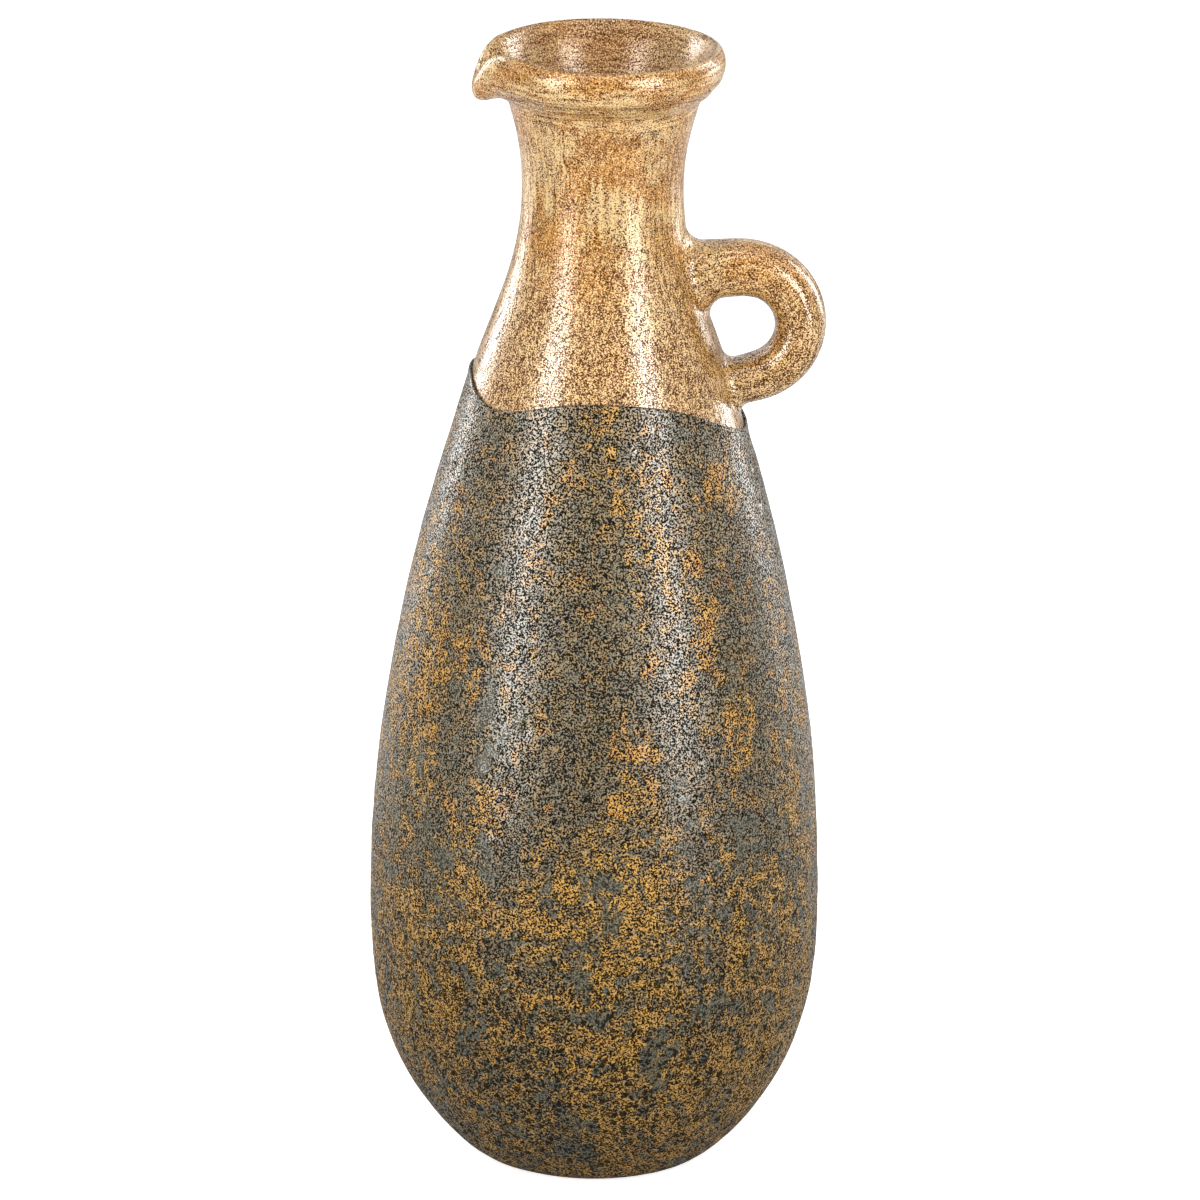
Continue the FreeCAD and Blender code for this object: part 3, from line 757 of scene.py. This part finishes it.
def coat_edges(skin, sizes):
    """How far up the outline the coat's ragged edge lies, one value for each column."""
    edges = []
    for column in range(sizes.columns):
        azimuth = math.tau * column / sizes.columns
        ring = outward_at(azimuth) * EDGE_RING * MM
        tatter = noise.noise(ring / TATTER_SPAN) * 0.6 + noise.noise(ring / FINE_TATTER_SPAN) * 0.4
        edges.append(skin.travel_at(skin.edge(azimuth) - sizes.tatter * (0.5 + 0.5 * tatter)))
    return edges


def coat_shell():
    """The coat's mesh: a grid rolled into a sleeve and closed over its edge and up its hidden side."""
    scene = bpy.context.scene
    sizes, form = scene.jug_coat, scene.jug_form
    noise.seed_set(form.seed)
    skin = Skin("textured_coat")
    rows = coat_rows(sizes)
    edges = coat_edges(skin, sizes)
    shell = bmesh.new()
    bmesh.ops.create_grid(shell, x_segments=sizes.columns, y_segments=len(rows), size=1.0)
    worm = shell.verts.layers.float.new("worm")
    rim = shell.verts.layers.float.new("rim")
    for vert in shell.verts:
        column = round((vert.co.x + 1.0) / 2.0 * sizes.columns)
        row = round((vert.co.y + 1.0) / 2.0 * len(rows)) % len(rows)
        top = edges[column % sizes.columns]
        kind, share = rows[row]
        travel = top if kind == "edge" else top * share
        radius, height, out, up = skin.at(travel)
        direction = outward_at(math.tau * column / sizes.columns)
        normal = direction * out + Vector((0.0, 0.0, up))
        along = Vector((0.0, 0.0, out)) - direction * up
        surface = direction * radius + Vector((0.0, 0.0, height))
        depth, mark = coat_relief(surface, sizes)
        near_edge = hump(top - travel, LIP_SPAN)
        depth = depth * (1.0 - 0.6 * near_edge) - sizes.lip * near_edge
        if kind == "edge":
            turn = math.pi * share
            middle = (depth + sizes.thickness) / 2.0
            half = (sizes.thickness - depth) / 2.0
            surface += along * (math.sin(turn) * half) - normal * (middle - math.cos(turn) * half)
        elif kind == "outside":
            surface -= normal * depth
        else:
            surface -= normal * sizes.thickness
        vert[worm] = mark
        # The turned-over edge is marked for its painted shadow line.
        vert[rim] = 1.0 if kind == "edge" else 0.0
        vert.co = formed(surface, form)
    bmesh.ops.remove_doubles(shell, verts=shell.verts, dist=SEAM)
    bmesh.ops.recalc_face_normals(shell, faces=shell.faces)
    for face in shell.faces:
        face.smooth = True
    return shell


# Steps that dress the jug


class JUG_OT_vessel(bpy.types.Operator):
    """Gives the thrown vessel its bare fired clay"""

    bl_idname = "jug.vessel"
    bl_label = "Fire the vessel"

    def execute(self, context):
        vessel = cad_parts["vessel_body"]
        vessel.material_slots[0].material = bare_clay(context.scene.jug_clay_colours)
        return {"FINISHED"}


class JUG_OT_coat(bpy.types.Operator):
    """Lays the gritty mineral coat over the vessel"""

    bl_idname = "jug.coat"
    bl_label = "Lay the mineral coat"

    def execute(self, context):
        material = mineral_coat(context.scene.jug_coat_colours)
        add_piece("gritty_coat", coat_shell(), material, ["textured_coat"])
        return {"FINISHED"}


class JUG_OT_neck(bpy.types.Operator):
    """Forms the neck and brushes it with gold paint"""

    bl_idname = "jug.neck"
    bl_label = "Paint the neck"

    def execute(self, context):
        colours, clay_colours = context.scene.jug_paint_colours, context.scene.jug_clay_colours
        material = gold_paint("brushed_neck", upright_streaks, colours, clay_colours)
        add_piece("painted_neck", hand_formed_copy("neck"), material, ["neck"])
        return {"FINISHED"}


class JUG_OT_rim(bpy.types.Operator):
    """Forms the rolled rim and its beak and brushes them with gold paint"""

    bl_idname = "jug.rim"
    bl_label = "Paint the rim"

    def execute(self, context):
        material = gold_paint("brushed_rim", round_streaks, context.scene.jug_paint_colours)
        shell = hand_formed_copy("rolled_rim", grooved=True)
        add_piece("painted_rim", shell, material, ["rolled_rim"])
        return {"FINISHED"}


class JUG_OT_loop(bpy.types.Operator):
    """Forms the finger loop and the clay at its roots and brushes them with gold paint"""

    bl_idname = "jug.loop"
    bl_label = "Paint the loop"

    def execute(self, context):
        low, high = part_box("loop_handle")
        middle = (low.x * (1.0 - LOOP_MIDDLE) + high.x * LOOP_MIDDLE, (low.z + high.z) / 2.0)
        material = gold_paint("brushed_loop", loop_streaks(middle), context.scene.jug_paint_colours)
        for name, node in (
            ("painted_loop", "loop_handle"),
            ("painted_upper_root", "upper_root_wad"),
            ("painted_lower_root", "lower_root_wad"),
        ):
            add_piece(name, hand_formed_copy(node), material, [node])
        return {"FINISHED"}


# Stage

# Soft boxes: azimuth from the camera and elevation in degrees, distance, width and height in
# metres, and power in watts.
SOFT_BOXES = (
    ("left_box", -47.0, 17.0, 1.7, 0.50, 1.50, 19.0),
    ("right_box", 45.0, 17.0, 1.7, 0.56, 1.50, 20.5),
    ("far_left_box", -130.0, 16.0, 1.8, 0.55, 1.40, 17.0),
    ("far_right_box", 126.0, 16.0, 1.8, 0.45, 1.40, 15.0),
    ("top_box", 0.0, 78.0, 1.9, 1.40, 1.40, 8.0),
)
CAMERA_AZIMUTH = -90.0
SENSOR_WIDTH = 36.0
SURROUND_LIGHT = 0.32
WHITE = (1.0, 1.0, 1.0)
FLOOR_COLOUR = (0.8, 0.8, 0.8)
FLOOR_GLOW = 0.72
FLOOR_SIDES = 96


def aimed(place, target, roll=0.0):
    """The matrix of a camera or lamp that looks from a place at a target."""
    back = (place - target).normalized()
    right = Vector((0.0, 0.0, 1.0)).cross(back).normalized()
    up = back.cross(right)
    tipped_right = right * math.cos(roll) + up * math.sin(roll)
    tipped_up = up * math.cos(roll) - right * math.sin(roll)
    matrix = Matrix((tipped_right, tipped_up, back)).transposed().to_4x4()
    matrix.translation = place
    return matrix


def make_lamps(aim):
    """The soft boxes, each turned to the middle of the jug."""
    for name, azimuth, elevation, distance, width, height, power in SOFT_BOXES:
        lamp = bpy.data.lights.new(name, "AREA")
        lamp.shape = "RECTANGLE"
        lamp.size = width
        lamp.size_y = height
        lamp.energy = power
        turn, lift = math.radians(azimuth + CAMERA_AZIMUTH), math.radians(elevation)
        out = Vector((math.cos(turn) * math.cos(lift), math.sin(turn) * math.cos(lift), math.sin(lift)))
        item = bpy.data.objects.new(name, lamp)
        item.matrix_world = aimed(aim + out * distance, aim)
        bpy.context.scene.collection.objects.link(item)


def make_surround():
    """A pale world: white to the camera and in reflections, and a plain level of light elsewhere."""
    world = bpy.data.worlds.new("pale_room")
    world.use_nodes = True
    room = Nodes(world.node_tree, "ShaderNodeOutputWorld")
    rays = room.add("ShaderNodeLightPath").outputs
    names = ("Is Camera Ray", "Is Glossy Ray", "Is Transmission Ray")
    camera, glossy, clear = [Strand(room, rays[name]) for name in names]
    seen = camera.math("ADD", camera, glossy.math("MAXIMUM", glossy, clear), clamp=True)
    light = room.strand("ShaderNodeBackground", None, {"Color": WHITE, "Strength": SURROUND_LIGHT})
    white = room.strand("ShaderNodeBackground", None, {"Color": WHITE, "Strength": 1.0})
    room.end(room.strand("ShaderNodeMixShader", None, {0: seen, 1: light, 2: white}))
    bpy.context.scene.world = world


def floor_finish():
    """Pale floor that the camera sees as white, with the jug's shadow kept on it."""
    finish = Finish("pale_floor")
    matt = finish.strand("ShaderNodeBsdfDiffuse", None, {"Color": FLOOR_COLOUR})
    glow = finish.strand("ShaderNodeEmission", None, {"Color": WHITE, "Strength": FLOOR_GLOW})
    glowing = finish.strand("ShaderNodeAddShader", None, {0: matt, 1: glow})
    camera = finish.strand("ShaderNodeLightPath", output="Is Camera Ray")
    finish.end(finish.strand("ShaderNodeMixShader", None, {0: camera, 1: matt, 2: glowing}))
    return finish.material


class JUG_OT_stage(bpy.types.Operator):
    """Sets the pale floor, the soft boxes and the camera"""

    bl_idname = "jug.stage"
    bl_label = "Set the stage"

    def execute(self, context):
        scene, sizes = context.scene, context.scene.jug_stage
        aim = Vector((0.0, 0.0, sizes.aim_height))

        ground = bmesh.new()
        bmesh.ops.create_circle(ground, cap_ends=True, segments=FLOOR_SIDES, radius=sizes.floor_radius)
        mesh = bpy.data.meshes.new("floor")
        ground.to_mesh(mesh)
        ground.free()
        mesh.materials.append(floor_finish())
        floor = bpy.data.objects.new("floor", mesh)
        scene.collection.objects.link(floor)

        make_surround()
        make_lamps(aim)

        lens = bpy.data.cameras.new("camera")
        lens.lens = sizes.focal_length
        lens.sensor_width = SENSOR_WIDTH
        lens.shift_x = sizes.shift_right
        lens.shift_y = sizes.shift_up
        camera = bpy.data.objects.new("camera", lens)
        back = Vector((0.0, -math.cos(sizes.camera_pitch), math.sin(sizes.camera_pitch)))
        camera.matrix_world = aimed(aim + back * sizes.camera_distance, aim, sizes.camera_roll)
        scene.collection.objects.link(camera)
        scene.camera = camera
        scene.view_settings.view_transform = "Standard"
        return {"FINISHED"}


OPERATORS = (JUG_OT_vessel, JUG_OT_coat, JUG_OT_neck, JUG_OT_rim, JUG_OT_loop, JUG_OT_stage)


class JUG_PT_panel(bpy.types.Panel):
    """Lists the jug's sizes, colours and steps"""

    bl_label = "Gold-necked jug"
    bl_idname = "JUG_PT_panel"
    bl_space_type = "VIEW_3D"
    bl_region_type = "UI"
    bl_category = "Jug"

    def draw(self, context):
        for name, group in GROUPS.items():
            box = self.layout.box()
            box.label(text=group.bl_rna.description)
            for field in group.__annotations__:
                box.prop(getattr(context.scene, name), field)
        for operator in OPERATORS:
            self.layout.operator(operator.bl_idname)


def register():
    for item in (*GROUPS.values(), *OPERATORS, JUG_PT_panel):
        bpy.utils.register_class(item)
    for name, group in GROUPS.items():
        setattr(bpy.types.Scene, name, PointerProperty(type=group))


def unregister():
    for name in GROUPS:
        delattr(bpy.types.Scene, name)
    for item in (JUG_PT_panel, *reversed(OPERATORS), *reversed(list(GROUPS.values()))):
        bpy.utils.unregister_class(item)


def main():
    register()
    bpy.ops.jug.vessel()
    bpy.ops.jug.coat()
    bpy.ops.jug.neck()
    bpy.ops.jug.rim()
    bpy.ops.jug.loop()
    bpy.ops.jug.stage()


if __name__ == "__main__":
    main()
